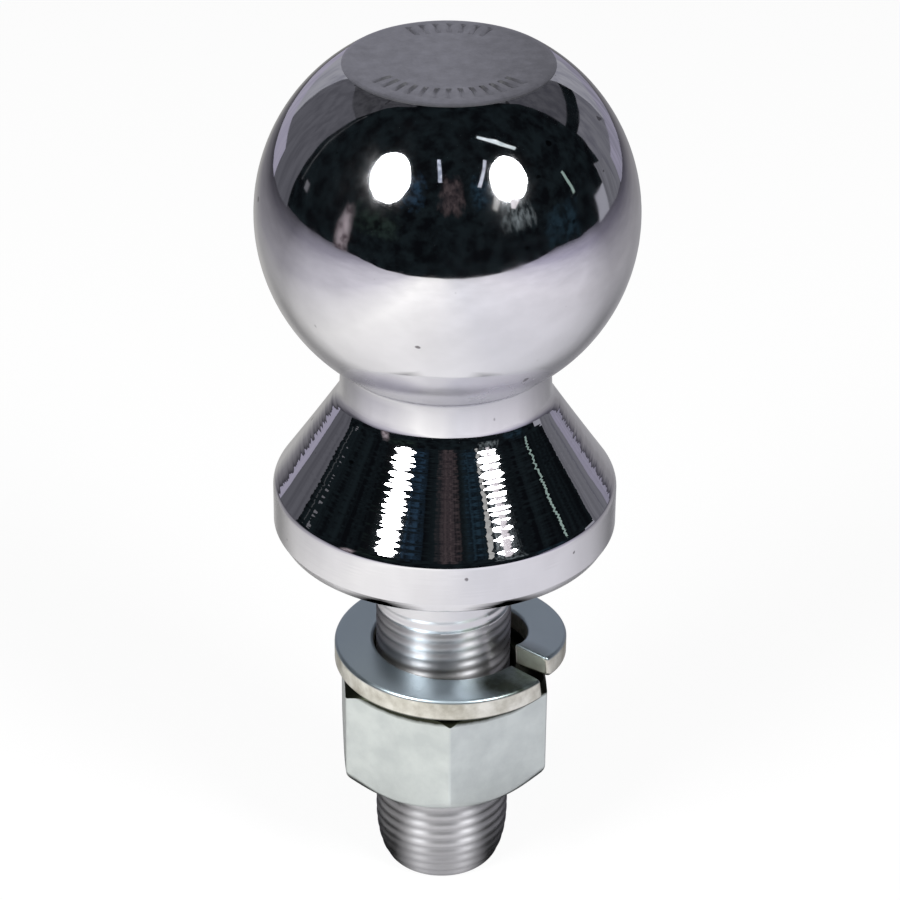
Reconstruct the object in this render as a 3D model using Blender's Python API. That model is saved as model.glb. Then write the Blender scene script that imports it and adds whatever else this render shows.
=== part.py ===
"""Threaded tow ball: a forged and turned ball stud, a split spring washer and a hex nut.

Metres, +Z up. The origin is the centre of the shank's flat end, and the Z axis is the thread's axis.
"""
from math import atan2, cos, pi, radians, sin, sqrt, tan

import bmesh
import bpy
from mathutils import Matrix

# Ball and its machined top
ball_diameter = 0.0508
top_flat_diameter = 0.0264
top_edge_radius = 0.0010

# Neck and collar, whose underside is the seat
neck_diameter = 0.0284
neck_height = 0.0048
neck_flare = 0.0003
neck_fillet = 0.0010
cone_height = 0.0138
collar_diameter = 0.0470
rim_height = 0.0075
underside_chamfer_height = 0.0017
underside_chamfer_width = 0.0010

# Shank, which the thread covers
shank_diameter = 0.0189
shank_length = 0.0550
root_fillet = 0.0008
nose_height = 0.0080
nose_width = 0.0026

# Hex nut
thread_clearance = 0.0003
nut_across_flats = 0.0282
nut_height = 0.0163
nut_below_seat = 0.0221
nut_turn = radians(3.8)
bearing_corner_cut = 0.0013
bearing_chamfer_slope = radians(35)
outer_corner_cut = 0.0027
outer_chamfer_slope = radians(38)
countersink_width = 0.0006
nut_spare = 0.002

# Split spring washer
washer_slack = 0.00135
washer_section_width = 0.0055
washer_thickness = 0.0035
washer_keystone = 0.0002
washer_corner_radius = 0.0007
washer_off_right = 0.0010
washer_off_front = 0.0003
washer_clearance = 0.0003
washer_low_end = radians(-37.5)
washer_split = radians(4.5)
washer_arch = 0.00015
washer_tip_lift = 0.0027
washer_tip_share = 0.33
washer_cut_lean = radians(8)

# Fineness of the round shapes
turning_steps = 72
ball_steps = 12
fillet_steps = 3
neck_steps = 3
nose_steps = 6
washer_steps = 70
corner_steps = 2
merge_distance = 0.000005

# Sizes that follow
ball_radius = ball_diameter / 2
neck_radius = neck_diameter / 2
shank_radius = shank_diameter / 2
seat_height = shank_length
cone_top = seat_height + rim_height + cone_height
nut_corner = nut_across_flats / 2 / cos(pi / 6)
nut_top = seat_height - nut_below_seat
nut_bottom = nut_top - nut_height
washer_inner_radius = shank_radius + washer_slack


def clear_scene():
    """Remove every object that the scene already holds."""
    for thing in list(bpy.data.objects):
        bpy.data.objects.remove(thing, do_unlink=True)


def metal(name, colour, roughness):
    """A Principled metal with one colour and one roughness."""
    material = bpy.data.materials.new(name)
    material.use_nodes = True
    shader = material.node_tree.nodes["Principled BSDF"]
    shader.inputs["Base Color"].default_value = (*colour, 1.0)
    shader.inputs["Metallic"].default_value = 1.0
    shader.inputs["Roughness"].default_value = roughness
    return material


def add_object(name, mesh, material=None):
    """Link a mesh into the scene as a named object."""
    thing = bpy.data.objects.new(name, mesh)
    bpy.context.scene.collection.objects.link(thing)
    if material is not None:
        mesh.materials.append(material)
    return thing


def arc(centre, radius, start, end, steps):
    """Points of an arc in the plane of radius and height, from one angle to the other."""
    turn = [start + (end - start) * i / steps for i in range(steps + 1)]
    return [(centre[0] + radius * cos(a), centre[1] + radius * sin(a)) for a in turn]


def turned(name, profile, closed, material=None):
    """Turn a profile about Z. The profile runs down its outer side, from top to bottom."""
    mesh = bpy.data.meshes.new(name)
    shape = bmesh.new()
    verts = [shape.verts.new((r, 0.0, z)) for r, z in profile]
    pairs = list(zip(verts, verts[1:]))
    if closed:
        pairs.append((verts[-1], verts[0]))
    for first, second in pairs:
        shape.edges.new((first, second))
    shape.to_mesh(mesh)
    shape.free()
    thing = add_object(name, mesh, material)
    turning = thing.modifiers.new("turning", "SCREW")
    turning.axis = "Z"
    turning.angle = 2 * pi
    turning.steps = turning_steps
    turning.render_steps = turning_steps
    turning.use_merge_vertices = True
    turning.merge_threshold = merge_distance
    turning.use_smooth_shade = True
    return thing


def ball_outline():
    """The flat top, its rounded edge, the ball and the small fillet where the ball meets the neck."""
    # The fillet's arc touches the ball from below and the neck's wall from outside
    fillet_r = neck_radius + neck_fillet
    fillet_drop = sqrt((ball_radius + neck_fillet) ** 2 - fillet_r**2)
    fillet_centre = (fillet_r, cone_top + neck_height)
    ball_end = atan2(-fillet_drop, fillet_r)
    centre = (0.0, fillet_centre[1] + fillet_drop)
    # The edge's arc lies inside the ball and touches both the ball and the flat
    flat_height = sqrt(ball_radius**2 - (top_flat_diameter / 2) ** 2)
    edge_height = flat_height - top_edge_radius
    edge_r = sqrt((ball_radius - top_edge_radius) ** 2 - edge_height**2)
    ball_start = atan2(edge_height, edge_r)
    edge = arc((edge_r, centre[1] + edge_height), top_edge_radius, pi / 2, ball_start, fillet_steps)
    upper = arc(centre, ball_radius, ball_start, 0.0, ball_steps)
    lower = arc(centre, ball_radius, 0.0, ball_end, ball_steps)
    fillet = arc(fillet_centre, neck_fillet, ball_end + pi, pi, fillet_steps)
    return [(0.0, centre[1] + flat_height)] + edge + upper[1:] + lower[1:] + fillet[1:]


def collar_outline():
    """The flared neck, the cone, the rim and the chamfer below it, down to the flat seat."""
    rim_radius = collar_diameter / 2
    points = []
    for i in range(1, neck_steps + 1):
        part = i / neck_steps
        # The wall leaves the fillet upright and flares as a parabola
        points.append((neck_radius + neck_flare * part**2, cone_top + neck_height * (1 - part)))
    points.append((rim_radius, seat_height + rim_height))
    points.append((rim_radius, seat_height + underside_chamfer_height))
    points.append((rim_radius - underside_chamfer_width, seat_height))
    return points


def shank_outline():
    """The fillet under the collar, the shank's outside and its rounded nose."""
    root = arc((shank_radius + root_fillet, seat_height - root_fillet), root_fillet, pi / 2, pi, fillet_steps)
    nose = []
    for i in range(nose_steps + 1):
        # A quarter of an ellipse, from the shank's side in to the flat end
        turn = pi / 2 * i / nose_steps
        nose.append((shank_radius - nose_width * (1 - cos(turn)), nose_height * (1 - sin(turn))))
    return root + nose + [(0.0, 0.0)]


def make_ball_stud(material):
    """Ball, neck, collar and shank, turned from one forging."""
    return turned("ball_stud", ball_outline() + collar_outline() + shank_outline(), False, material)


def nut_envelope():
    """The turned ring that bounds the nut: both corner chamfers, the bore and its countersinks."""
    beyond = nut_corner + nut_spare
    bearing_radius = nut_corner - bearing_corner_cut
    outer_radius = nut_corner - outer_corner_cut
    bore = shank_radius + thread_clearance
    mouth = bore + countersink_width
    outline = [
        (mouth, nut_top),
        (bearing_radius, nut_top),
        (beyond, nut_top - (beyond - bearing_radius) * tan(bearing_chamfer_slope)),
        (beyond, nut_bottom + (beyond - outer_radius) * tan(outer_chamfer_slope)),
        (outer_radius, nut_bottom),
        (mouth, nut_bottom),
        (bore, nut_bottom + countersink_width),
        (bore, nut_top - countersink_width),
    ]
    envelope = turned("nut_envelope", outline, True)
    envelope.hide_render = True
    envelope.display_type = "WIRE"
    return envelope


def make_hex_nut(material):
    """A hexagonal bar cut to the shape that turning leaves, with a corner near the front."""
    mesh = bpy.data.meshes.new("hex_nut")
    shape = bmesh.new()
    turns = [pi / 3 * i - pi / 2 for i in range(6)]
    # The bar is longer than the nut, so that the envelope alone makes both faces
    verts = [shape.verts.new((nut_corner * cos(a), nut_corner * sin(a), -nut_spare)) for a in turns]
    base = shape.faces.new(verts)
    raised = bmesh.ops.extrude_face_region(shape, geom=[base])
    top = [part for part in raised["geom"] if isinstance(part, bmesh.types.BMVert)]
    bmesh.ops.translate(shape, verts=top, vec=(0, 0, nut_height + 2 * nut_spare))
    bmesh.ops.recalc_face_normals(shape, faces=shape.faces)
    shape.to_mesh(mesh)
    shape.free()
    nut = add_object("hex_nut", mesh, material)
    nut.location.z = nut_bottom
    nut.rotation_euler.z = nut_turn
    cut = nut.modifiers.new("turned_shape", "BOOLEAN")
    cut.operation = "INTERSECT"
    cut.solver = "EXACT"
    cut.object = nut_envelope()
    mesh.shade_smooth()
    mesh.set_sharp_from_angle(angle=radians(30))
    return nut


def washer_section():
    """The wire's section as radius and height: a keystone with rounded corners, thicker inside."""
    outer = washer_inner_radius + washer_section_width
    round_off = washer_corner_radius
    inner_top = washer_thickness + washer_keystone / 2
    outer_top = washer_thickness - washer_keystone / 2
    corners = [
        ((outer - round_off, round_off), -pi / 2),
        ((outer - round_off, outer_top - round_off), 0.0),
        ((washer_inner_radius + round_off, inner_top - round_off), pi / 2),
        ((washer_inner_radius + round_off, round_off), pi),
    ]
    section = []
    for centre, start in corners:
        section += arc(centre, round_off, start, start + pi / 2, corner_steps)
    return section


def coil_height(part):
    """How far the coil stands off the nut, where part runs from 0 at the low end to 1 at the tip."""
    arch = washer_arch * max(0.0, sin(pi * part / (1 - washer_tip_share)))
    tip = max(0.0, (part - 1 + washer_tip_share) / washer_tip_share)
    return arch + washer_tip_lift * tip**2


def make_spring_washer(material):
    """One left-hand coil of keystone wire, cut across, with its upper end standing proud."""
    span = 2 * pi - washer_split
    shape = bmesh.new()
    section = [shape.verts.new((r, 0.0, z)) for r, z in washer_section()]
    edges = [shape.edges.new(pair) for pair in zip(section, section[1:] + section[:1])]
    swept = bmesh.ops.spin(shape, geom=section + edges, cent=(0, 0, 0), axis=(0, 0, 1), angle=-span,
                           steps=washer_steps)
    shape.faces.new(section)
    last = [part for part in swept["geom_last"] if isinstance(part, bmesh.types.BMEdge)]
    bmesh.ops.contextual_create(shape, geom=last)
    middle = washer_inner_radius + washer_section_width / 2
    for vert in shape.verts:
        behind = -atan2(vert.co.y, vert.co.x) % (2 * pi)
        # The first section lies at zero, where rounding could read as a full turn
        part = 0.0 if behind > span + washer_split / 2 else behind / span
        lean = -tan(washer_cut_lean) * vert.co.z / middle
        vert.co = Matrix.Rotation(washer_low_end + lean, 3, "Z") @ vert.co
        vert.co.z += coil_height(part)
    bmesh.ops.translate(shape, verts=shape.verts, vec=(washer_off_right, -washer_off_front, 0))
    bmesh.ops.recalc_face_normals(shape, faces=shape.faces)
    mesh = bpy.data.meshes.new("spring_washer")
    shape.to_mesh(mesh)
    shape.free()
    washer = add_object("spring_washer", mesh, material)
    washer.location.z = nut_top + washer_clearance
    mesh.shade_smooth()
    mesh.set_sharp_from_angle(angle=radians(50))
    return washer


def main():
    clear_scene()
    chrome = metal("chrome_plate", (0.78, 0.78, 0.80), 0.06)
    plated = metal("zinc_plate", (0.70, 0.72, 0.72), 0.30)
    plated_spring = metal("zinc_plated_spring_steel", (0.52, 0.57, 0.60), 0.32)
    tow_ball = bpy.data.objects.new("tow_ball", None)
    bpy.context.scene.collection.objects.link(tow_ball)
    pieces = [make_ball_stud(chrome), make_spring_washer(plated_spring), make_hex_nut(plated)]
    for piece in pieces:
        piece.parent = tow_ball


main()
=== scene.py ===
"""Looks of the threaded tow ball: a chromed ball stud with its thread, a split spring washer and a hex nut.

Shapes are worked out in millimetres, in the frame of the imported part, and become metres in the meshes.
"""

from math import atan, atan2, cos, pi, radians, sin, sqrt, tan

import bmesh
import bpy
import numpy as np
from mathutils import Matrix, Vector


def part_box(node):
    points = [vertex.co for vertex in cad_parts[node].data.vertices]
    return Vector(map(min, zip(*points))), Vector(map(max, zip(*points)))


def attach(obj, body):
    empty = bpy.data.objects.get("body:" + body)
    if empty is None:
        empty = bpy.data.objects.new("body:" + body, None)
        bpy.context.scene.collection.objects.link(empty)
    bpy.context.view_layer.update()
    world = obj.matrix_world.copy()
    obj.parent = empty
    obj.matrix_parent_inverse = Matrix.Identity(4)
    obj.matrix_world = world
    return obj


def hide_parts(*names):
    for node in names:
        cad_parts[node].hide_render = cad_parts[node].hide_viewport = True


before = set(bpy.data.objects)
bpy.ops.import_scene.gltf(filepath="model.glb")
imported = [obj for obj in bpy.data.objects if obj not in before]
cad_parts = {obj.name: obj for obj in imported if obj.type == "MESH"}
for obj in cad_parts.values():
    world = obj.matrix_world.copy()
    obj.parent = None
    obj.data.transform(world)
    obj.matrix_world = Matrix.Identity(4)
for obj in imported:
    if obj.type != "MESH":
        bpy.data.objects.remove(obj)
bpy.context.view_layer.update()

MM = 0.001

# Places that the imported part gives
stud_low, stud_high = (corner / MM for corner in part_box("ball_stud"))
nut_low, nut_high = (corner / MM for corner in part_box("hex_nut"))
washer_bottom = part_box("spring_washer")[0].z / MM
ball_radius = (stud_high.x - stud_low.x) / 2
top_height = stud_high.z

# Ball stud
top_flat_radius = 13.2
flat_above_centre = sqrt(ball_radius**2 - top_flat_radius**2)
ball_centre_height = top_height - flat_above_centre
top_edge_radius = 2.4
mark_inner_radius = 9.2
mark_outer_radius = 11.7
mark_slope_width = 0.3
mark_depth = 0.35
mark_columns = 4
front_marks = 6
back_marks = 3
top_finish_depth = 0.45
neck_radius = 14.2
neck_height = 4.8
neck_flare = 0.1
neck_fillet = 1.0
cone_height = 13.8
cone_edge_lowered = 0.2
cone_edge_above = 1.2
cone_edge_below = 1.6
neck_lean = 0.09
cone_hollow = 0.05
rim_radius = 23.5
rim_height = 7.5
cone_foot_round = 2.0
rim_edge_round = 0.4
chamfer_height = 1.7
chamfer_width = 1.0
seat_height = 55.0
root_fillet = 0.8
root_gap = 0.05
nose_height = 8.0
nose_width = 2.6

# Heights between which the stud's finish changes, from none of it to all of it
rings_start = 76.5
rings_full = 75.0
rings_finest = 62.0
lean_full = 62.5
# Heights of the groove under the ball, which is duller and painted darker as painted shade
groove_low_edge = 78.0
groove_low_full = 82.5
groove_high_full = 87.0
groove_high_edge = 90.5
shank_dull_start = 54.8
shank_dull_full = 54.2

# Thread, 16 to the inch
thread_radius = 9.45
thread_pitch = 25.4 / 16
thread_depth = 0.10 * thread_pitch
thread_crest_share = 0.1
thread_lowered = 0.68
thread_starts = 46.0
thread_is_full = 43.0
thread_fades_below = 2.0
thread_finish_starts = 42.9

# Split spring washer
washer_inner_radius = thread_radius + 1.35
washer_section_width = 5.5
washer_thickness = 3.5
washer_keystone = 0.2
washer_corner_radius = 0.6
washer_off_right = 1.0
washer_off_front = 0.3
washer_low_end = radians(-37.5)
washer_split = radians(4.5)
washer_arch = 0.15
washer_tip_lift = 2.7
washer_tip_share = 0.33
washer_cut_lean = radians(8)
washer_cut_round = 0.5
washer_burr = 0.28
washer_burr_share = 0.04
# Painted shade on the washer's top near its raised end: its place in plan, core and radius
dark_patch_place = (8.8, -11.0)
dark_patch_core = 3.0
dark_patch_radius = 7.5

# Hex nut
nut_apothem = 14.1
nut_turn = radians(3.8)
nut_corner_round = 0.55
nut_upper_round = 0.12
nut_lower_round = 2.2
nut_least_chamfer = 0.3
bearing_corner_cut = 1.3
bearing_chamfer_slope = radians(35)
outer_corner_cut = 2.7
outer_chamfer_slope = radians(38)
nut_bore = thread_radius + 0.3
countersink = 0.6
nut_small_round = 0.2
# Painted shade on the nut's sides under the washer's lower edge: its slope, core, reach and raggedness
washer_shade_slope = 0.6
washer_shade_core = 0.1
washer_shade_reach = 0.7
washer_shade_raggedness = 0.25

# Fineness of the meshes
stud_columns = 160
washer_steps = 260
sharp_angle = radians(35)

# Studio
room_radius = 3500

# The photograph's view: a long lens, 31 degrees above the seat, whose middle lies at a row and a column
camera_distance = 468.92
camera_rise = 0.5454
camera_roll = 0.0098761
focal_pixels = 3395.6
seat_pixel_row = 524.19
seat_pixel_column = 445.15
frame_pixels = 900


def colour(code):
    """An sRGB hex colour as linear red, green, blue and one."""
    parts = [int(code[i:i + 2], 16) / 255 for i in (1, 3, 5)]
    return tuple(p / 12.92 if p <= 0.04045 else ((p + 0.055) / 1.055) ** 2.4 for p in parts) + (1.0,)


def add(tree, kind, inputs=None, **settings):
    """Add one node, set its properties, and give each input a value or another node's output."""
    node = tree.nodes.new(kind)
    for name, value in settings.items():
        setattr(node, name, value)
    for name, value in (inputs or {}).items():
        if isinstance(value, bpy.types.NodeSocket):
            tree.links.new(value, node.inputs[name])
        else:
            node.inputs[name].default_value = value
    return node


def reach_from_axis(tree, place):
    """The distance from the upright axis, from a node output that gives a place."""
    split = add(tree, "ShaderNodeSeparateXYZ", {"Vector": place})
    plan = add(tree, "ShaderNodeCombineXYZ", {"X": split.outputs["X"], "Y": split.outputs["Y"]})
    return add(tree, "ShaderNodeVectorMath", {0: plan.outputs["Vector"]}, operation="LENGTH").outputs["Value"]


def arc(centre, radius, start, end, steps):
    """Points of an arc in the plane of radius and height, from one angle to the other."""
    turn = np.linspace(start, end, steps + 1)
    return np.stack([centre[0] + radius * np.cos(turn), centre[1] + radius * np.sin(turn)], axis=-1)


def bend(start, corner, end, steps):
    """A quadratic curve from start to end that leaves and arrives along the lines through the corner."""
    part = np.linspace(0, 1, steps + 1).reshape(-1, *[1] * corner.ndim)
    return start * (1 - part) ** 2 + 2 * corner * part * (1 - part) + end * part**2


def round_corner(before, corner, after, radius, steps):
    """Replace a corner by a quadratic curve that starts and ends one tangent length away from it.

    The tangent length is radius times the tangent of half the turn, kept under half of each side.
    Works on single points or on whole columns of points at once.
    """
    before, corner, after = np.broadcast_arrays(before, corner, after)
    back = before - corner
    ahead = after - corner
    back_length = np.linalg.norm(back, axis=-1, keepdims=True)
    ahead_length = np.linalg.norm(ahead, axis=-1, keepdims=True)
    back = back / back_length
    ahead = ahead / ahead_length
    turn = pi - np.arccos(np.clip((back * ahead).sum(-1, keepdims=True), -1, 1))
    reach = np.minimum(radius * np.tan(turn / 2), 0.45 * np.minimum(back_length, ahead_length))
    return bend(corner + back * reach, corner, corner + ahead * reach, steps)


def grid_faces(rows, columns, closed):
    """Quads between neighbours of a grid of points, joined back to the first column if closed."""
    index = np.arange(rows * columns).reshape(rows, columns)
    if closed:
        index = np.concatenate([index, index[:, :1]], axis=1)
    return np.stack([index[:-1, :-1], index[1:, :-1], index[1:, 1:], index[:-1, 1:]], axis=-1).reshape(-1, 4)


def make_piece(name, points, faces):
    """A smooth mesh from points in millimetres. Doubled points are merged, and a closed one faces outward."""
    mesh = bpy.data.meshes.new(name)
    mesh.from_pydata((points.reshape(-1, 3) * MM).tolist(), [], [list(face) for face in faces])
    shape = bmesh.new()
    shape.from_mesh(mesh)
    bmesh.ops.remove_doubles(shape, verts=shape.verts, dist=0.002 * MM)
    bmesh.ops.recalc_face_normals(shape, faces=shape.faces)
    shape.to_mesh(mesh)
    shape.free()
    mesh.shade_smooth()
    mesh.set_sharp_from_angle(angle=sharp_angle)
    piece = bpy.data.objects.new(name, mesh)
    bpy.context.scene.collection.objects.link(piece)
    return piece


def face_heights(mesh):
    """The height of each face's centre, in millimetres."""
    centres = np.zeros(len(mesh.polygons) * 3, dtype=np.float32)
    mesh.polygons.foreach_get("center", centres)
    return centres.reshape(-1, 3)[:, 2] / MM


# Ball stud

def stud_outline():
    """Radius and height of the turned part, from the middle of its top flat down to the shank's root."""
    cone_top = seat_height + rim_height + cone_height
    # The small fillet under the ball touches the ball from below and the neck's wall from outside
    fillet_radius = neck_radius + neck_fillet
    fillet_drop = sqrt((ball_radius + neck_fillet) ** 2 - fillet_radius**2)
    centre = (0.0, cone_top + neck_height + fillet_drop)
    ball_end = atan2(-fillet_drop, fillet_radius)
    # The rounded edge of the flat lies inside the ball and touches ball and flat
    edge_height = flat_above_centre - top_edge_radius
    edge_radius = sqrt((ball_radius - top_edge_radius) ** 2 - edge_height**2)
    ball_start = atan2(edge_height, edge_radius)
    top = centre[1] + flat_above_centre
    flat_rows = np.array((
        0.0, 3.0, 6.0, mark_inner_radius - mark_slope_width, mark_inner_radius,
        mark_outer_radius, mark_outer_radius + mark_slope_width,
    ))
    flat = np.stack([flat_rows, np.full(len(flat_rows), top)], axis=-1)
    edge = arc((edge_radius, centre[1] + edge_height), top_edge_radius, pi / 2, ball_start, 6)
    ball = arc(centre, ball_radius, ball_start, ball_end, 72)
    fillet = arc((fillet_radius, cone_top + neck_height), neck_fillet, ball_end + pi, pi, 6)
    cone_foot = np.array((rim_radius, seat_height + rim_height))
    slant = cone_foot - np.array((neck_radius + neck_flare, cone_top))
    slant = slant / np.linalg.norm(slant)
    # The neck runs a little past the cone's top before it bends into the cone
    cone_start = cone_foot - slant * (cone_height - cone_edge_lowered) / -slant[1]
    neck_end = cone_start + np.array((-neck_lean, cone_edge_above))
    neck_top = np.array((neck_radius, cone_top + neck_height))
    neck = neck_top + (neck_end - neck_top) * np.linspace(0, 1, 6)[1:-1, None]
    rim_foot = np.array((rim_radius, seat_height + chamfer_height))
    seat_edge = np.array((rim_radius - chamfer_width, seat_height))
    seat_inner = np.array((thread_radius + root_fillet, seat_height))
    # The cone is hollow by a small parabola between its two edges
    cone_begin = cone_start + slant * cone_edge_below
    share = np.linspace(0, 0.9, 14)[1:, None]
    cone = cone_begin + (cone_foot - cone_begin) * share
    cone = cone - 4 * cone_hollow * share * (1 - share) * np.array((-slant[1], slant[0]))
    root = arc((thread_radius + root_fillet, seat_height - root_fillet), root_fillet, pi / 2, pi, 6)
    return np.concatenate([
        flat, edge, ball[1:], fillet[1:], neck,
        bend(neck_end, cone_start, cone_begin, 12), cone,
        round_corner(cone[-1], cone_foot, rim_foot, cone_foot_round, 8),
        round_corner(cone_foot, rim_foot, seat_edge, rim_edge_round, 3),
        round_corner(rim_foot, seat_edge, seat_inner, rim_edge_round, 3), root,
    ])


def thread_drop(place):
    """Depth below the crest as a share, where place is the distance from the crest in pitches, up to a half.

    The crest is flat over a tenth of the pitch, and each flank falls to the root along half a cosine.
    """
    crest = thread_crest_share / 2
    flank = np.clip((np.abs(place) - crest) / (0.5 - crest), 0, 1)
    return (1 - np.cos(pi * flank)) / 2


def thread_rows(turn):
    """Radius and height of the thread's rows for each column.

    Each row follows the right-hand helix: its height falls row by row through the pitch and rises by one
    pitch in a turn, so that crests and roots lie along the rows. Heights are held between the collar and
    the shank's end, the depth fades in below the plain part and out at the end, and a quarter ellipse is
    the nose.
    """
    places = np.array([-0.5, -0.38, -0.25, -0.13, -0.085, -0.045, 0.0, 0.045, 0.085, 0.13, 0.25, 0.38])
    turns = int(seat_height / thread_pitch) + 3
    steps = (np.arange(turns)[:, None] + places[None, :] + 0.5).ravel()
    drop = thread_drop((steps % 1.0) - 0.5)
    height = thread_pitch * (1 - steps[:, None] + turn[None, :] / (2 * pi)) + seat_height - thread_lowered
    height = np.clip(height, 0.0, seat_height - root_fillet - root_gap)
    fade_in = np.clip((thread_starts - height) / (thread_starts - thread_is_full), 0, 1)
    fade_out = np.clip(height / thread_fades_below, 0, 1)
    depth = thread_depth * fade_in * fade_out * drop[:, None]
    up = np.clip(1 - height / nose_height, 0, 1)
    nose = thread_radius - nose_width * (1 - np.sqrt(1 - up**2))
    return nose - depth, height


def make_ball_stud():
    """Ball, neck, collar and threaded shank as one closed surface of columns round the axis."""
    turn = np.linspace(0, 2 * pi, stud_columns + 1)
    outline = stud_outline()
    radius = np.repeat(outline[:, :1], len(turn), axis=1)
    height = np.repeat(outline[:, 1:], len(turn), axis=1)
    # Plain punched strokes round the flat, at the front and at the back: each is one column pressed in
    front = stud_columns * 3 // 4
    back = stud_columns // 4
    strokes = [front + mark_columns * i for i in range(-front_marks, front_marks + 1)]
    strokes += [back + mark_columns * i for i in range(-back_marks, back_marks + 1)]
    marked = (outline[:, 0] >= mark_inner_radius) & (outline[:, 0] <= mark_outer_radius)
    marked &= outline[:, 1] > top_height - mark_depth / 10
    height[np.ix_(marked, strokes)] -= mark_depth
    shank_radius, shank_height = thread_rows(turn)
    end_radius = np.linspace(thread_radius - nose_width, 0, 6)[1:, None] * np.ones_like(turn)
    radius = np.concatenate([radius, shank_radius, end_radius])
    height = np.concatenate([height, shank_height, np.zeros_like(end_radius)])
    # The last column lies on the first, and merging the doubled points joins them one pitch apart
    turn[-1] = 0.0
    points = np.stack([radius * np.cos(turn), radius * np.sin(turn), height], axis=-1)
    return make_piece("chromed_ball_stud", points, grid_faces(*radius.shape, closed=False))


# Spring washer

def washer_section():
    """The wire's section as radius and height: a keystone with rounded corners, thicker inside."""
    outer = washer_inner_radius + washer_section_width
    inner_top = washer_thickness + washer_keystone / 2
    outer_top = washer_thickness - washer_keystone / 2
    corners = [(outer, 0.0), (outer, outer_top), (washer_inner_radius, inner_top), (washer_inner_radius, 0.0)]
    signs = [(-1, 1), (-1, -1), (1, -1), (1, 1)]
    section = []
    for i, (corner, sign) in enumerate(zip(corners, signs)):
        centre = (corner[0] + sign[0] * washer_corner_radius, corner[1] + sign[1] * washer_corner_radius)
        section.append(arc(centre, washer_corner_radius, pi / 2 * (i - 1), pi / 2 * i, 6))
    return np.concatenate(section)


def make_spring_washer():
    """The section carried round a left-hand coil.

    The coil's height is a low half sine over its run on the nut plus a parabola over its last part, and each
    end is cut on a lean, so that a point turns back a little with its height in the section. Close to an end
    the section shrinks along a quarter circle, which rounds the edges of the cut.
    """
    span = 2 * pi - washer_split
    middle = washer_inner_radius + washer_section_width / 2
    round_part = washer_cut_round / (span * middle)
    ends = round_part * (1 - np.cos(np.linspace(0, pi / 2, 6)))
    between = np.linspace(round_part, 1 - round_part, washer_steps)[1:-1]
    part = np.sort(np.concatenate([ends, between, 1 - ends]))
    from_end = np.clip(np.minimum(part, 1 - part) / round_part, 0, 1)
    shrink = washer_cut_round * (1 - np.sqrt(1 - (1 - from_end) ** 2))
    part = part[None, :]
    flat_section = washer_section()
    half_size = np.array((washer_section_width / 2, washer_thickness / 2))
    centre = np.array((middle, washer_thickness / 2))
    section = centre + (flat_section - centre)[:, None, :] * (1 - shrink[None, :, None] / half_size)
    reach, rise = section[..., 0], section[..., 1]
    arch = washer_arch * np.maximum(0, np.sin(pi * part / (1 - washer_tip_share)))
    tip = np.maximum(0, (part - 1 + washer_tip_share) / washer_tip_share)
    lean = -tan(washer_cut_lean) * rise / middle
    # Shearing has swelled the raised end upward, most at its inner side
    swell = np.clip((part - 1 + washer_burr_share) / washer_burr_share, 0, 1) ** 2
    inward = (washer_inner_radius + washer_section_width - reach) / washer_section_width
    burr = washer_burr * swell * inward * rise / washer_thickness
    turn = washer_low_end - span * part + lean
    points = np.stack([
        washer_off_right + reach * np.cos(turn),
        reach * np.sin(turn) - washer_off_front,
        washer_bottom + rise + arch + washer_tip_lift * tip**2 + burr,
    ], axis=-1).swapaxes(0, 1)
    rows, columns = points.shape[:2]
    faces = grid_faces(rows, columns, closed=True).tolist()
    faces.append(list(range(columns)))
    faces.append(list(range((rows - 1) * columns, rows * columns)))
    return make_piece("split_spring_washer", points, faces)


# Hex nut

def hexagon_outline():
    """Points round a hexagon whose corners are arcs, as plan x and y, with even steps along each side."""
    inner = (nut_apothem - nut_corner_round) / cos(pi / 6)
    outline = []
    for i in range(6):
        middle = nut_turn - pi / 2 + pi / 3 * i
        centre = inner * np.array((cos(middle), sin(middle)))
        after = inner * np.array((cos(middle + pi / 3), sin(middle + pi / 3)))
        turn = np.linspace(middle - pi / 6, middle + pi / 6, 7)[:, None]
        outline.append(centre + nut_corner_round * np.concatenate([np.cos(turn), np.sin(turn)], axis=1))
        side = nut_corner_round * np.array((cos(middle + pi / 6), sin(middle + pi / 6)))
        outline.append(side + centre + (after - centre) * np.linspace(0, 1, 18)[1:-1, None])
    return np.concatenate(outline)


def make_hex_nut():
    """The hexagon's columns, each bounded above and below by the chamfer cones, with a countersunk bore.

    At plan radius R the bearing chamfer lies at the top less (R - its start) times its slope, and the outer
    chamfer in the same way above the bottom. Every corner of a column's section is rounded.
    """
    plan = hexagon_outline()
    reach = np.linalg.norm(plan, axis=1)
    away = plan / reach[:, None]
    top = nut_high.z
    bottom = nut_low.z
    corner = nut_apothem / cos(pi / 6)
    bearing_start = corner - bearing_corner_cut
    outer_start = corner - outer_corner_cut
    upper = top - np.maximum((reach - bearing_start) * tan(bearing_chamfer_slope), nut_least_chamfer)
    lower = bottom + (reach - outer_start) * tan(outer_chamfer_slope)
    face_edge = np.minimum(bearing_start, reach - nut_least_chamfer)
    same = np.ones_like(reach)
    mouth = nut_bore + countersink
    ring = [
        (mouth * same, top * same), (face_edge, top * same), (reach, upper), (reach, lower),
        (outer_start * same, bottom * same), (mouth * same, bottom * same),
        (nut_bore * same, (bottom + countersink) * same), (nut_bore * same, (top - countersink) * same),
    ]
    ring = [np.stack(pair, axis=-1) for pair in ring]
    rounds = [nut_small_round] + [nut_upper_round] * 2 + [nut_lower_round] * 2 + [nut_small_round] * 3
    rows = np.concatenate([
        round_corner(ring[i - 1], ring[i], ring[(i + 1) % len(ring)], rounds[i], 6) for i in range(len(ring))
    ])
    points = np.concatenate([rows[..., :1] * away, rows[..., 1:]], axis=-1)
    points = np.concatenate([points, points[:1]])
    return make_piece("plated_hex_nut", points, grid_faces(*points.shape[:2], closed=True))


# Materials

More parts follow.
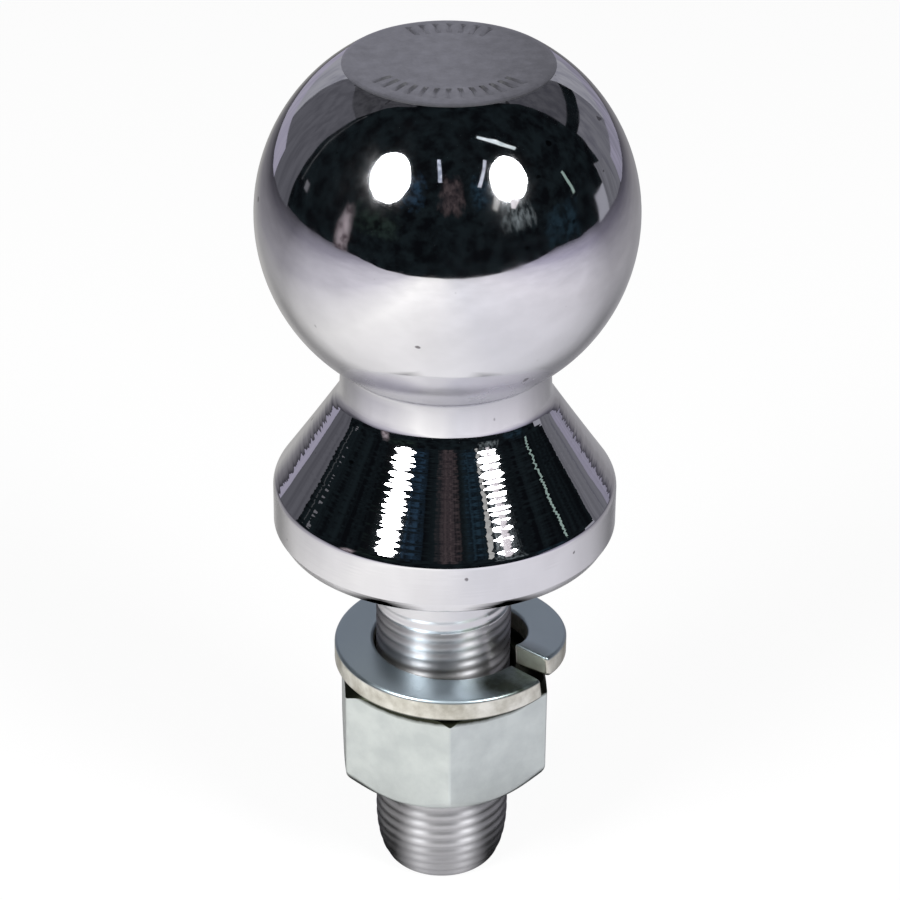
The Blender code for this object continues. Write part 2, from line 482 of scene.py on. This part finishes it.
def new_finish(name, values):
    """A material with its node tree and its Principled shader, on which the given values are set."""
    material = bpy.data.materials.new(name)
    material.use_nodes = True
    shader = material.node_tree.nodes["Principled BSDF"]
    for socket, value in values.items():
        shader.inputs[socket].default_value = value
    return material, material.node_tree, shader


def chrome_plate():
    """Bright chrome plate on a turned forging: a near mirror with faint turning rings and wiping marks."""
    material, tree, shader = new_finish("bright_chrome_plate", {"Metallic": 1.0})
    place = add(tree, "ShaderNodeTexCoord").outputs["Object"]
    # Turning rings: a noise that changes only with height, about a millimetre apart
    rings = add(tree, "ShaderNodeMapping", {"Vector": place, "Scale": (40.0, 40.0, 1700.0)}).outputs["Vector"]
    ring_noise = add(tree, "ShaderNodeTexNoise", {
        "Vector": rings, "Scale": 1.0, "Detail": 1.0, "Roughness": 0.5,
    })
    height = add(tree, "ShaderNodeSeparateXYZ", {"Vector": place}).outputs["Z"]
    # The rings fade out above the cone, because the neck and the ball are polished
    turned = add(tree, "ShaderNodeMapRange", {
        "Value": height, "From Min": rings_start * MM, "From Max": rings_full * MM,
        "To Min": 0.02, "To Max": 1.0,
    }).outputs["Result"]
    # They are finer toward the foot of the cone and on the rim
    finer = add(tree, "ShaderNodeMapRange", {
        "Value": height, "From Min": rings_full * MM, "From Max": rings_finest * MM,
        "To Min": 0.75, "To Max": 0.32,
    }).outputs["Result"]
    grown = add(tree, "ShaderNodeMath", {0: turned, 1: finer}, operation="MULTIPLY").outputs[0]
    ring_height = add(tree, "ShaderNodeMath", {0: ring_noise.outputs["Fac"], 1: grown}, operation="MULTIPLY")
    # The marks' long flanks lean outward more and more down the cone, by up to two degrees
    down = add(tree, "ShaderNodeMapRange", {
        "Value": height, "From Min": rings_start * MM, "From Max": lean_full * MM,
    }).outputs["Result"]
    squared = add(tree, "ShaderNodeMath", {0: down, 1: down}, operation="MULTIPLY").outputs[0]
    leaning = add(tree, "ShaderNodeMath", {
        0: squared, 1: -4.6, 2: ring_height.outputs[0],
    }, operation="MULTIPLY_ADD")
    ring_bump = add(tree, "ShaderNodeBump", {
        "Height": leaning.outputs[0], "Strength": 1.0, "Distance": 0.06 * MM,
    })
    # The groove under the ball is hard to reach with the polishing wheel and stays duller; its colour is also
    # painted darker, as painted shade under the ball
    groove_low = add(tree, "ShaderNodeMapRange", {
        "Value": height, "From Min": groove_low_edge * MM, "From Max": groove_low_full * MM,
    }).outputs["Result"]
    groove_high = add(tree, "ShaderNodeMapRange", {
        "Value": height, "From Min": groove_high_edge * MM, "From Max": groove_high_full * MM,
    }).outputs["Result"]
    groove = add(tree, "ShaderNodeMath", {0: groove_low, 1: groove_high}, operation="MULTIPLY").outputs[0]
    groove_painted_shade = add(tree, "ShaderNodeMix", {
        "Factor": groove, "A": colour("#e4e4e8"), "B": colour("#c6c6cc"),
    }, data_type="RGBA")
    # A few specks of dust and pits
    dust = add(tree, "ShaderNodeTexNoise", {"Vector": place, "Scale": 520.0, "Detail": 1.0, "Roughness": 0.5})
    dot = add(tree, "ShaderNodeMapRange", {
        "Value": dust.outputs["Fac"], "From Min": 0.76, "From Max": 0.79,
    }).outputs["Result"]
    dotted = add(tree, "ShaderNodeMix", {
        "Factor": dot, "A": groove_painted_shade.outputs["Result"], "B": colour("#8a888c"),
    }, data_type="RGBA")
    tree.links.new(dotted.outputs["Result"], shader.inputs["Base Color"])
    # Slow waves of the polished surface, which make mirrored edges wander
    waves = add(tree, "ShaderNodeTexNoise", {
        "Vector": place, "Scale": 160.0, "Detail": 2.0, "Roughness": 0.5,
    })
    wave_bump = add(tree, "ShaderNodeBump", {
        "Height": waves.outputs["Fac"], "Normal": ring_bump.outputs["Normal"], "Strength": 1.0,
        "Distance": 0.04 * MM,
    })
    tree.links.new(wave_bump.outputs["Normal"], shader.inputs["Normal"])
    # Wiping marks dull the mirror in soft patches
    smudge = add(tree, "ShaderNodeTexNoise", {
        "Vector": place, "Scale": 90.0, "Detail": 5.0, "Roughness": 0.65,
    })
    dull = add(tree, "ShaderNodeMapRange", {
        "Value": smudge.outputs["Fac"], "From Min": 0.42, "From Max": 0.72, "To Min": 0.03, "To Max": 0.11,
    })
    shank = add(tree, "ShaderNodeMapRange", {
        "Value": height, "From Min": shank_dull_start * MM, "From Max": shank_dull_full * MM, "To Max": 0.28,
    }).outputs["Result"]
    # The turned cone is a sharper mirror than the ball, and the plain shank a duller one
    sharper = add(tree, "ShaderNodeMath", {0: turned, 1: -0.6, 2: 1.0}, operation="MULTIPLY_ADD").outputs[0]
    rough = add(tree, "ShaderNodeMath", {
        0: dull.outputs["Result"], 1: sharper, 2: shank,
    }, operation="MULTIPLY_ADD")
    duller = add(tree, "ShaderNodeMath", {0: groove, 1: 0.2, 2: rough.outputs[0]}, operation="MULTIPLY_ADD")
    tree.links.new(duller.outputs[0], shader.inputs["Roughness"])
    return material


def turned_face():
    """The machined top, faced in a lathe under thin plate: satin grey, with fine rings and soft mottling."""
    material, tree, shader = new_finish("faced_and_plated_steel", {"Metallic": 1.0, "Roughness": 0.34})
    place = add(tree, "ShaderNodeTexCoord").outputs["Object"]
    mottle = add(tree, "ShaderNodeTexNoise", {
        "Vector": place, "Scale": 500.0, "Detail": 4.0, "Roughness": 0.7,
    })
    # The top is darker and greyer toward the right
    across = add(tree, "ShaderNodeSeparateXYZ", {"Vector": place}).outputs["X"]
    darker_to_right = add(tree, "ShaderNodeMapRange", {
        "Value": across, "From Min": 1.0 * MM, "From Max": 12.0 * MM, "To Max": -0.45,
    }).outputs["Result"]
    plate = add(tree, "ShaderNodeMath", {0: mottle.outputs["Fac"], 1: darker_to_right}, operation="ADD").outputs[0]
    tone = add(tree, "ShaderNodeMix", {
        "Factor": plate, "A": colour("#98989c"), "B": colour("#d6d6dc"),
    }, data_type="RGBA")
    tree.links.new(tone.outputs["Result"], shader.inputs["Base Color"])
    rings = add(tree, "ShaderNodeTexWave", {
        "Vector": place, "Scale": 700.0, "Distortion": 0.6, "Detail": 1.0,
    }, wave_type="RINGS", rings_direction="Z")
    bump = add(tree, "ShaderNodeBump", {
        "Height": rings.outputs["Fac"], "Strength": 1.0, "Distance": 0.006 * MM,
    })
    tree.links.new(bump.outputs["Normal"], shader.inputs["Normal"])
    return material


def plated_thread():
    """Cut thread under thin plate: half bright, dull across the tool's marks and sharper along them."""
    material, tree, shader = new_finish("plated_steel_thread", {
        "Metallic": 1.0, "Roughness": 0.37, "Anisotropic": 0.9, "Anisotropic Rotation": 0.25,
        "Specular Tint": colour("#272727"),
    })
    around = add(tree, "ShaderNodeTangent", direction_type="RADIAL", axis="Z").outputs["Tangent"]
    tree.links.new(around, shader.inputs["Tangent"])
    place = add(tree, "ShaderNodeTexCoord").outputs["Object"]
    reach = reach_from_axis(tree, place)
    # The roots are painted a little darker than the crests, as painted shade in the grooves
    crest = add(tree, "ShaderNodeMapRange", {
        "Value": reach, "From Min": (thread_radius - thread_depth) * MM, "From Max": thread_radius * MM,
    })
    tone = add(tree, "ShaderNodeMix", {
        "Factor": crest.outputs["Result"], "A": colour("#b8b8bb"), "B": colour("#d0d0d3"),
    }, data_type="RGBA")
    tree.links.new(tone.outputs["Result"], shader.inputs["Base Color"])
    return material


def zinc_plate(name, light, dark, up, down, grain, shaded_under_washer=False, dark_patch_painted=False):
    """Bright zinc plate on steel: a soft metallic grey, clouded in patches, with a fine grain.

    Faces that turn up or down are painted a colour of their own, as painted shade and painted reflection.
    One shaded under the washer has its sides painted dark olive round the washer's lower edge, as painted
    shade:
    above a cone through that edge that rises outward by its slope, with a ragged rim. One with the dark patch
    has a dark olive patch of painted shade on its upper face, round the patch's place in plan.
    """
    material, tree, shader = new_finish(name, {"Metallic": 1.0})
    place = add(tree, "ShaderNodeTexCoord").outputs["Object"]
    clouds = add(tree, "ShaderNodeTexNoise", {
        "Vector": place, "Scale": 260.0, "Detail": 5.0, "Roughness": 0.6,
    })
    patch = add(tree, "ShaderNodeMapRange", {
        "Value": clouds.outputs["Fac"], "From Min": 0.35, "From Max": 0.65,
    }).outputs["Result"]
    tone = add(tree, "ShaderNodeMix", {
        "Factor": patch, "A": colour(dark), "B": colour(light),
    }, data_type="RGBA")
    normal = add(tree, "ShaderNodeNewGeometry").outputs["Normal"]
    upward = add(tree, "ShaderNodeSeparateXYZ", {"Vector": normal}).outputs["Z"]
    shade = tone.outputs["Result"]
    above = colour(up)
    # Painted shade: a dark olive patch on the washer's top near its raised end
    if dark_patch_painted:
        offset = add(tree, "ShaderNodeVectorMath", {
            0: place, 1: (dark_patch_place[0] * MM, dark_patch_place[1] * MM, 0.0),
        }, operation="SUBTRACT").outputs["Vector"]
        near = add(tree, "ShaderNodeMapRange", {
            "Value": reach_from_axis(tree, offset),
            "From Min": dark_patch_radius * MM, "From Max": dark_patch_core * MM,
        }).outputs["Result"]
        blotches = add(tree, "ShaderNodeMath", {0: patch, 1: 0.35, 2: 0.65}, operation="MULTIPLY_ADD")
        painted_dark_patch = add(tree, "ShaderNodeMath", {0: near, 1: blotches.outputs[0]}, operation="MULTIPLY")
        above = add(tree, "ShaderNodeMix", {
            "Factor": painted_dark_patch.outputs[0], "A": colour(up), "B": colour("#4c544a"),
        }, data_type="RGBA").outputs["Result"]
    # Painted shade and painted reflection: faces that turn up or down take a colour of their own
    for side, side_paint in ((1, above), (-1, colour(down))):
        facing_painted_side = add(tree, "ShaderNodeMapRange", {
            "Value": upward, "From Min": 0.1 * side, "From Max": 0.5 * side,
        }).outputs["Result"]
        shade = add(tree, "ShaderNodeMix", {
            "Factor": facing_painted_side, "A": shade, "B": side_paint,
        }, data_type="RGBA").outputs["Result"]
    # Painted shade: dark olive on the nut's sides just under the washer's lower edge
    if shaded_under_washer:
        centred = add(tree, "ShaderNodeVectorMath", {
            0: place, 1: (washer_off_right * MM, -washer_off_front * MM, 0.0),
        }, operation="SUBTRACT").outputs["Vector"]
        reach = reach_from_axis(tree, centred)
        height = add(tree, "ShaderNodeSeparateXYZ", {"Vector": place}).outputs["Z"]
        above_cone = add(tree, "ShaderNodeMath", {
            0: reach, 1: -washer_shade_slope, 2: height,
        }, operation="MULTIPLY_ADD")
        ragged = add(tree, "ShaderNodeMath", {
            0: patch, 1: washer_shade_raggedness * MM, 2: above_cone.outputs[0],
        }, operation="MULTIPLY_ADD")
        edge = washer_bottom - washer_shade_slope * (washer_inner_radius + washer_section_width)
        washer_shade = add(tree, "ShaderNodeMapRange", {
            "Value": ragged.outputs[0],
            "From Min": (edge - washer_shade_reach) * MM, "From Max": (edge - washer_shade_core) * MM,
        }).outputs["Result"]
        shade = add(tree, "ShaderNodeMix", {
            "Factor": washer_shade, "A": shade, "B": colour("#34372c"),
        }, data_type="RGBA").outputs["Result"]
    tree.links.new(shade, shader.inputs["Base Color"])
    dullness = add(tree, "ShaderNodeMapRange", {"Value": patch, "To Min": 0.39, "To Max": 0.29})
    tree.links.new(dullness.outputs["Result"], shader.inputs["Roughness"])
    fine = add(tree, "ShaderNodeTexNoise", {
        "Vector": place, "Scale": 1500.0, "Detail": 3.0, "Roughness": 0.6,
    })
    bump = add(tree, "ShaderNodeBump", {
        "Height": fine.outputs["Fac"], "Strength": 1.0, "Distance": grain * MM,
    })
    tree.links.new(bump.outputs["Normal"], shader.inputs["Normal"])
    return material


def sheared_steel():
    """The washer's cut ends: plated after shearing, but matt and pale where the steel tore."""
    material, tree, shader = new_finish("sheared_steel_end", {"Metallic": 1.0, "Roughness": 0.6})
    place = add(tree, "ShaderNodeTexCoord").outputs["Object"]
    torn = add(tree, "ShaderNodeTexNoise", {"Vector": place, "Scale": 420.0, "Detail": 3.0})
    tone = add(tree, "ShaderNodeMix", {
        "Factor": torn.outputs["Fac"], "A": colour("#a6a498"), "B": colour("#e4eade"),
    }, data_type="RGBA")
    tree.links.new(tone.outputs["Result"], shader.inputs["Base Color"])
    return material


# Studio

# Name, distance in millimetres, strength, colours, and corners as azimuth and elevation in degrees
plain_panels = [
    ("backdrop_left", 900, 0.8, "#b3b3ba", "#9c9ca6", (-185, -20), (-142, -20), (-142, 75), (-185, 75)),
    ("backdrop_right", 900, 0.8, "#b3b3ba", "#9c9ca6", (142, -20), (180, -20), (180, 75), (142, 75)),
    ("haze_left", 840, 0.9, "#a4a0b2", "#b0acbc", (-185, -8), (-128, -8), (-128, 2), (-185, 2)),
    ("haze_right", 840, 0.9, "#8c8a98", "#a4a0b2", (126, -8), (185, -8), (185, 2), (126, 2)),
    ("panel_left", 880, 1.0, "#54545a", "#606066", (-142, -8), (-107, -8), (-104, 44), (-142, 36)),
    ("panel_left_top", 882, 1.0, "#38383c", "#4a4a4e", (-142, 36), (-104, 44), (-100, 75), (-142, 75)),
    ("line_left", 870, 1.0, "#4c4e50", "#303234", (-102, 8), (-101, 8), (-101, 50), (-102, 50)),
    ("panel_right", 880, 1.0, "#62626a", "#76767c", (114, -8), (142, -8), (142, 17), (114, 24)),
    ("panel_right_low", 860, 1.0, "#76767c", "#64646a", (108, -10), (122, -10), (119, 7), (108, 12)),
    ("panel_right_near", 860, 1.0, "#9c9ca4", None, (97, -10), (108, -10), (108, 4), (98, 4)),
    ("panel_right_top", 880, 1.0, "#44444a", "#535358", (112, 31), (142, 24), (142, 75), (112, 75)),
    ("streak_high", 850, 1.2, "#f0f6f8", "#d0dade", (38.9, 66.1), (54, 57.8), (57.6, 59.4), (41.4, 66.9)),
    ("streak_low", 850, 1.1, "#e8f0f0", "#c8d4d6", (54, 57.8), (64.7, 48.9), (67.4, 49.3), (57.6, 59.4)),
    ("streak_side", 850, 0.95, "#e4e8f4", "#b0b4c0", (21.6, 39.6), (24.2, 38.9), (36.3, 52.2), (33.4, 53.4)),
    ("drip_left", 850, 1.0, "#a8a8a4", "#c4c4c0", (29.4, 25.6), (31.4, 23.9), (36, 30.5), (32.2, 32.4)),
    ("drip_right", 850, 1.0, "#d8d0d4", "#f0eaec", (40.4, 23.6), (43.4, 22.5), (48.3, 27), (41.6, 29.4)),
    ("streak_middle", 850, 1.0, "#e8eeff", "#a0a8b8", (-7.6, 43), (-3.9, 43), (-7, 56), (-10.4, 56)),
    ("streak_right", 850, 1.0, "#a9bcb4", "#8ba098", (84.2, 13), (86.0, 13), (84.8, 25), (83.0, 25)),
    ("spot_ring", 850, 1.0, "#6c6c70", None, (-97.5, 7), (-94, 7), (-94, 10.5), (-97.5, 10.5)),
]
# Name, distance, colours, grain of their mixing, and corners
soft_smears = [
    ("smear_pink", 850, "#b8acb0", "#544a4e", (14, 14, 14), (-69, -14), (-57, -14), (-56, 20), (-66, 20)),
    ("smear_left", 850, "#0c1010", "#25302c", (14, 14, 14), (-62, 4), (-24, 4), (-28, 26), (-62, 26)),
    ("smear_right", 920, "#0e1214", "#7c8486", (30, 30, 8), (30, 9), (58, 9), (52, 35), (32, 35)),
    ("smear_far_right", 850, "#0e1418", "#202f38", (14, 14, 14), (56, -8), (86, -8), (86, 16), (56, 16)),
    ("blue_left", 920, "#121a22", "#26394a", (20, 20, 20), (-38, 24), (-14, 24), (-14, 48), (-38, 48)),
    ("blue_right", 920, "#121a22", "#22333e", (20, 20, 20), (14, 24), (38, 24), (38, 48), (14, 48)),
    ("brown_band", 850, "#262226", "#4c4344", (18, 18, 3), (-8, 22), (14, 22), (13, 50), (-7, 50)),
]


def glow(name, code, strength, other=None, grain=(22.0, 22.0, 2.0), soft=False):
    """A lit surface of one colour, or of two colours mixed by a noise with the given grain per metre.

    A soft one fades out raggedly toward its edges, by the attribute "inside", which is one in its middle.
    """
    material = bpy.data.materials.new(name)
    material.use_nodes = True
    tree = material.node_tree
    tree.nodes.clear()
    light = add(tree, "ShaderNodeEmission", {"Color": colour(code), "Strength": strength})
    surface = light.outputs["Emission"]
    place = add(tree, "ShaderNodeTexCoord").outputs["Object"]
    scaled = add(tree, "ShaderNodeMapping", {"Vector": place, "Scale": grain}).outputs["Vector"]
    noise = add(tree, "ShaderNodeTexNoise", {
        "Vector": scaled, "Scale": 1.0, "Detail": 3.0, "Roughness": 0.6,
    })
    if other:
        share = add(tree, "ShaderNodeMapRange", {
            "Value": noise.outputs["Fac"], "From Min": 0.38, "From Max": 0.62,
        }).outputs["Result"]
        tone = add(tree, "ShaderNodeMix", {
            "Factor": share, "A": colour(code), "B": colour(other),
        }, data_type="RGBA")
        tree.links.new(tone.outputs["Result"], light.inputs["Color"])
    if soft:
        inside = add(tree, "ShaderNodeAttribute", attribute_name="inside").outputs["Fac"]
        ragged = add(tree, "ShaderNodeMath", {
            0: noise.outputs["Fac"], 1: 1.2, 2: inside,
        }, operation="MULTIPLY_ADD")
        shown = add(tree, "ShaderNodeMapRange", {
            "Value": ragged.outputs[0], "From Min": 0.75, "From Max": 1.5,
        }).outputs["Result"]
        clear = add(tree, "ShaderNodeBsdfTransparent").outputs["BSDF"]
        surface = add(tree, "ShaderNodeMixShader", {0: shown, 1: clear, 2: surface}).outputs["Shader"]
    add(tree, "ShaderNodeOutputMaterial", {"Surface": surface})
    return material


def direction(azimuth, elevation):
    """The unit vector at an azimuth from the front, positive to the right, and an elevation, in radians."""
    azimuth, elevation = np.broadcast_arrays(azimuth, elevation)
    return np.stack([
        np.sin(azimuth) * np.cos(elevation), -np.cos(azimuth) * np.cos(elevation), np.sin(elevation),
    ], axis=-1)


def card(name, corners, distance, material):
    """A patch of a sphere round the ball, between four corners of azimuth and elevation in degrees.

    Only mirrored light sees it. Its azimuth and elevation run evenly from corner to corner.
    """
    lower_left, lower_right, upper_right, upper_left = np.radians(np.array(corners, dtype=float))
    across = np.linspace(0, 1, 25)[None, :, None]
    up = np.linspace(0, 1, 9)[:, None, None]
    low = lower_left + (lower_right - lower_left) * across
    high = upper_left + (upper_right - upper_left) * across
    angles = low + (high - low) * up
    centre = np.array((0.0, 0.0, ball_centre_height))
    points = centre + distance * direction(angles[..., 0], angles[..., 1])
    patch = make_piece(name, points, grid_faces(*points.shape[:2], closed=False))
    inside = (1 - (2 * across - 1) ** 2) * (1 - (2 * up - 1) ** 2)
    patch.data.attributes.new("inside", "FLOAT", "POINT").data.foreach_set("value", inside.ravel())
    patch.data.materials.append(material)
    patch.visible_camera = False
    patch.visible_diffuse = False
    patch.visible_shadow = False
    material.cycles.emission_sampling = "NONE"


def make_plane(name, corners, height, material):
    """A flat rectangle between two plan corners in millimetres."""
    (x0, y0), (x1, y1) = corners
    points = np.array([(x0, y0, height), (x1, y0, height), (x1, y1, height), (x0, y1, height)], dtype=float)
    plane = make_piece(name, points, np.array([[0, 1, 2, 3]]))
    plane.data.materials.append(material)
    return plane


def floor_white():
    """The pale floor that the camera sees: lit from within, with a light soft shadow on it."""
    material = new_finish("pale_floor", {
        "Base Color": colour("#595959"), "Roughness": 1.0, "Specular IOR Level": 0.0,
        "Emission Color": colour("#ffffff"), "Emission Strength": 0.91,
    })[0]
    material.cycles.emission_sampling = "NONE"
    return material


def table_white():
    """The matt white table top that the chrome mirrors, greyer toward its sides and slightly blotched."""
    material, tree, shader = new_finish("matt_white_table", {"Roughness": 1.0, "Specular IOR Level": 0.0})
    place = add(tree, "ShaderNodeTexCoord").outputs["Object"]
    apart = add(tree, "ShaderNodeSeparateXYZ", {"Vector": place})
    # The ramp runs from 0.5 m on the left to 0.5 m on the right
    along = add(tree, "ShaderNodeMapRange", {
        "Value": apart.outputs["X"], "From Min": -500 * MM, "From Max": 500 * MM,
    })
    shade = add(tree, "ShaderNodeValToRGB", {"Fac": along.outputs["Result"]})
    stops = shade.color_ramp.elements
    stops[0].position, stops[0].color = 0.0, colour("#908d98")
    stops[1].position, stops[1].color = 1.0, colour("#a4a0b0")
    for at, code in (
        (0.3, "#c8c5cb"), (0.41, "#fbf9f6"), (0.48, "#f0eeed"), (0.54, "#dddce0"), (0.68, "#dad7dc"),
    ):
        stops.new(at).color = colour(code)
    blotch = add(tree, "ShaderNodeTexNoise", {
        "Vector": place, "Scale": 14.0, "Detail": 4.0, "Roughness": 0.55,
    })
    smoke = add(tree, "ShaderNodeMapRange", {
        "Value": blotch.outputs["Fac"], "From Min": 0.35, "From Max": 0.65, "To Min": 0.90, "To Max": 1.0,
    }).outputs["Result"]
    # Behind the ball the table is in half shade
    behind = add(tree, "ShaderNodeMapRange", {
        "Value": apart.outputs["Y"], "From Min": -30 * MM, "From Max": 70 * MM, "To Min": 1.0, "To Max": 0.64,
    }).outputs["Result"]
    # Close to the shank the table is in the shade of the collar, except in front
    away = add(tree, "ShaderNodeVectorMath", {0: place}, operation="NORMALIZE").outputs["Vector"]
    side = add(tree, "ShaderNodeSeparateXYZ", {"Vector": away}).outputs["Y"]
    beside = add(tree, "ShaderNodeMapRange", {
        "Value": side, "From Min": -0.9, "From Max": -0.4, "To Min": 1.0, "To Max": 0.0,
    }).outputs["Result"]
    outer = add(tree, "ShaderNodeMapRange", {
        "Value": reach_from_axis(tree, place), "From Min": 27 * MM, "From Max": 38 * MM,
    }).outputs["Result"]
    near = add(tree, "ShaderNodeMath", {0: beside, 1: outer}, operation="MAXIMUM").outputs[0]
    # Toward its front edge the table is a little darker
    edge = add(tree, "ShaderNodeMapRange", {
        "Value": apart.outputs["Y"], "From Min": -490 * MM, "From Max": -200 * MM,
        "To Min": 0.82, "To Max": 1.0,
    }).outputs["Result"]
    dimmer = add(tree, "ShaderNodeMath", {0: smoke, 1: behind}, operation="MULTIPLY").outputs[0]
    for shadow in (near, edge):
        dimmer = add(tree, "ShaderNodeMath", {0: dimmer, 1: shadow}, operation="MULTIPLY").outputs[0]
    patched = add(tree, "ShaderNodeMix", {
        "Factor": 1.0, "A": shade.outputs["Color"], "B": dimmer,
    }, data_type="RGBA", blend_type="MULTIPLY")
    tree.links.new(patched.outputs["Result"], shader.inputs["Base Color"])
    return material


def soft_light(name, azimuth, elevation, distance, size, roll, radiance):
    """An oval soft light that faces the ball from a direction, with its own roll in degrees and radiance."""
    data = bpy.data.lights.new(name, "AREA")
    data.shape = "ELLIPSE"
    data.size = size[0] * MM
    data.size_y = size[1] * MM
    area = pi / 4 * data.size * data.size_y
    data.energy = radiance * pi * area
    lamp = bpy.data.objects.new(name, data)
    bpy.context.scene.collection.objects.link(lamp)
    aim = Vector(direction(radians(azimuth), radians(elevation)))
    lamp.location = (Vector((0, 0, ball_centre_height)) + aim * distance) * MM
    facing = aim.to_track_quat("Z", "Y").to_matrix() @ Matrix.Rotation(radians(roll), 3, "Z")
    lamp.rotation_euler = facing.to_euler()
    lamp.visible_camera = False


def make_studio():
    """The white floor and backdrop that the camera sees, and the room that the metal mirrors."""
    floor = make_plane("floor", ((-4000, -4000), (4000, 4000)), 0.0, floor_white())
    floor.visible_glossy = False
    floor.visible_diffuse = False
    floor.visible_shadow = False
    table = make_plane("table_top", ((-1000, -490), (1000, 900)), -0.3, table_white())
    table.visible_camera = False
    for name, distance, strength, code, other, *corners in plain_panels:
        card(name, corners, distance, glow(name, code, strength, other))
    for name, distance, code, other, grain, *corners in soft_smears:
        card(name, corners, distance, glow(name, code, 1.0, other, grain, soft=True))
    soft_light("soft_light_left", -43.6, 39.3, 900, (368, 445), 22, 18.6)
    soft_light("soft_light_right", 46.3, 38.3, 900, (332, 393), -16, 21.8)
    world = bpy.data.worlds.new("dark_room")
    world.use_nodes = True
    bpy.context.scene.world = world
    background = world.node_tree.nodes["Background"]
    background.inputs["Color"].default_value = colour("#14171a")
    background.inputs["Strength"].default_value = 1.0
    rows, columns = 25, 49
    around = np.linspace(-pi, pi, columns)[None, :]
    upright = np.linspace(-pi / 2, pi / 2, rows)[:, None]
    points = room_radius * direction(around, upright)
    rays = ("visible_camera", "visible_diffuse", "visible_glossy", "visible_transmission", "visible_shadow")
    for name, size, material, seen in (
        ("white_backdrop", 1.0, glow("white_backdrop", "#ffffff", 0.99), "visible_camera"),
        ("dark_room", 0.9, glow("dark_room", "#0b0d10", 1.0, "#181f22", (2.5, 2.5, 2.5)), "visible_glossy"),
    ):
        dome = make_piece(name, points * size, grid_faces(rows, columns, closed=False))
        dome.data.materials.append(material)
        for ray in rays:
            setattr(dome, ray, ray == seen)
        material.cycles.emission_sampling = "NONE"


def make_camera():
    """A camera at its distance and rise from the seat, aimed so that the seat has its place in the frame."""
    data = bpy.data.cameras.new("camera")
    data.sensor_width = 36.0
    data.lens = focal_pixels * data.sensor_width / frame_pixels
    camera = bpy.data.objects.new("camera", data)
    bpy.context.scene.collection.objects.link(camera)
    pitch = camera_rise - atan((seat_pixel_row - frame_pixels / 2) / focal_pixels)
    yaw = atan((frame_pixels / 2 - seat_pixel_column) / focal_pixels)
    back = Vector((-sin(yaw), -cos(pitch) * cos(yaw), sin(pitch) * cos(yaw)))
    right = Vector((cos(yaw), -cos(pitch) * sin(yaw), sin(pitch) * sin(yaw)))
    up = back.cross(right)
    turned_right = right * cos(camera_roll) + up * sin(camera_roll)
    turned_up = up * cos(camera_roll) - right * sin(camera_roll)
    camera.location = Vector((
        0.0, -camera_distance * cos(camera_rise), camera_distance * sin(camera_rise) + seat_height,
    )) * MM
    camera.rotation_euler = Matrix((turned_right, turned_up, back)).transposed().to_euler()
    bpy.context.scene.camera = camera


def finish_stud(stud):
    """Give the stud its chrome, the satin top and the thread's plate, by height."""
    for material in (chrome_plate(), turned_face(), plated_thread()):
        stud.data.materials.append(material)
    heights = face_heights(stud.data)
    slots = np.zeros(len(heights), dtype=np.int32)
    slots[heights > top_height - top_finish_depth] = 1
    slots[heights < thread_finish_starts] = 2
    stud.data.polygons.foreach_set("material_index", slots)


def main():
    bpy.context.scene.view_settings.view_transform = "Standard"
    make_camera()
    make_studio()
    stud = make_ball_stud()
    finish_stud(stud)
    washer = make_spring_washer()
    # The washer's top is painted blue-grey and its underside dark olive, as painted reflection and painted
    # shade
    washer.data.materials.append(zinc_plate(
        "zinc_plated_spring_steel", light="#f4f3ea", dark="#c0bdb0", up="#b6c5cc", down="#34372c",
        # Painted shade on the washer's top near its raised end
        grain=0.012, dark_patch_painted=True,
    ))
    washer.data.materials.append(sheared_steel())
    # The two cut ends are the last faces
    for face in washer.data.polygons[-2:]:
        face.material_index = 1
    nut = make_hex_nut()
    # The nut's upward faces under the washer are painted dark olive and its downward faces a little darker,
    # as painted shade
    nut.data.materials.append(zinc_plate(
        "bright_zinc_plate", light="#dce3e1", dark="#d0d7d6", up="#34372c", down="#c4cac9",
        # Painted shade under the washer on the nut's sides
        grain=0.016, shaded_under_washer=True,
    ))
    for piece, body, node, slot in (
        (stud, "ball", "ball_stud", "chrome"),
        (washer, "washer", "spring_washer", "washer_zinc"),
        (nut, "nut", "hex_nut", "nut_zinc"),
    ):
        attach(piece, body)
        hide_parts(node)


main()
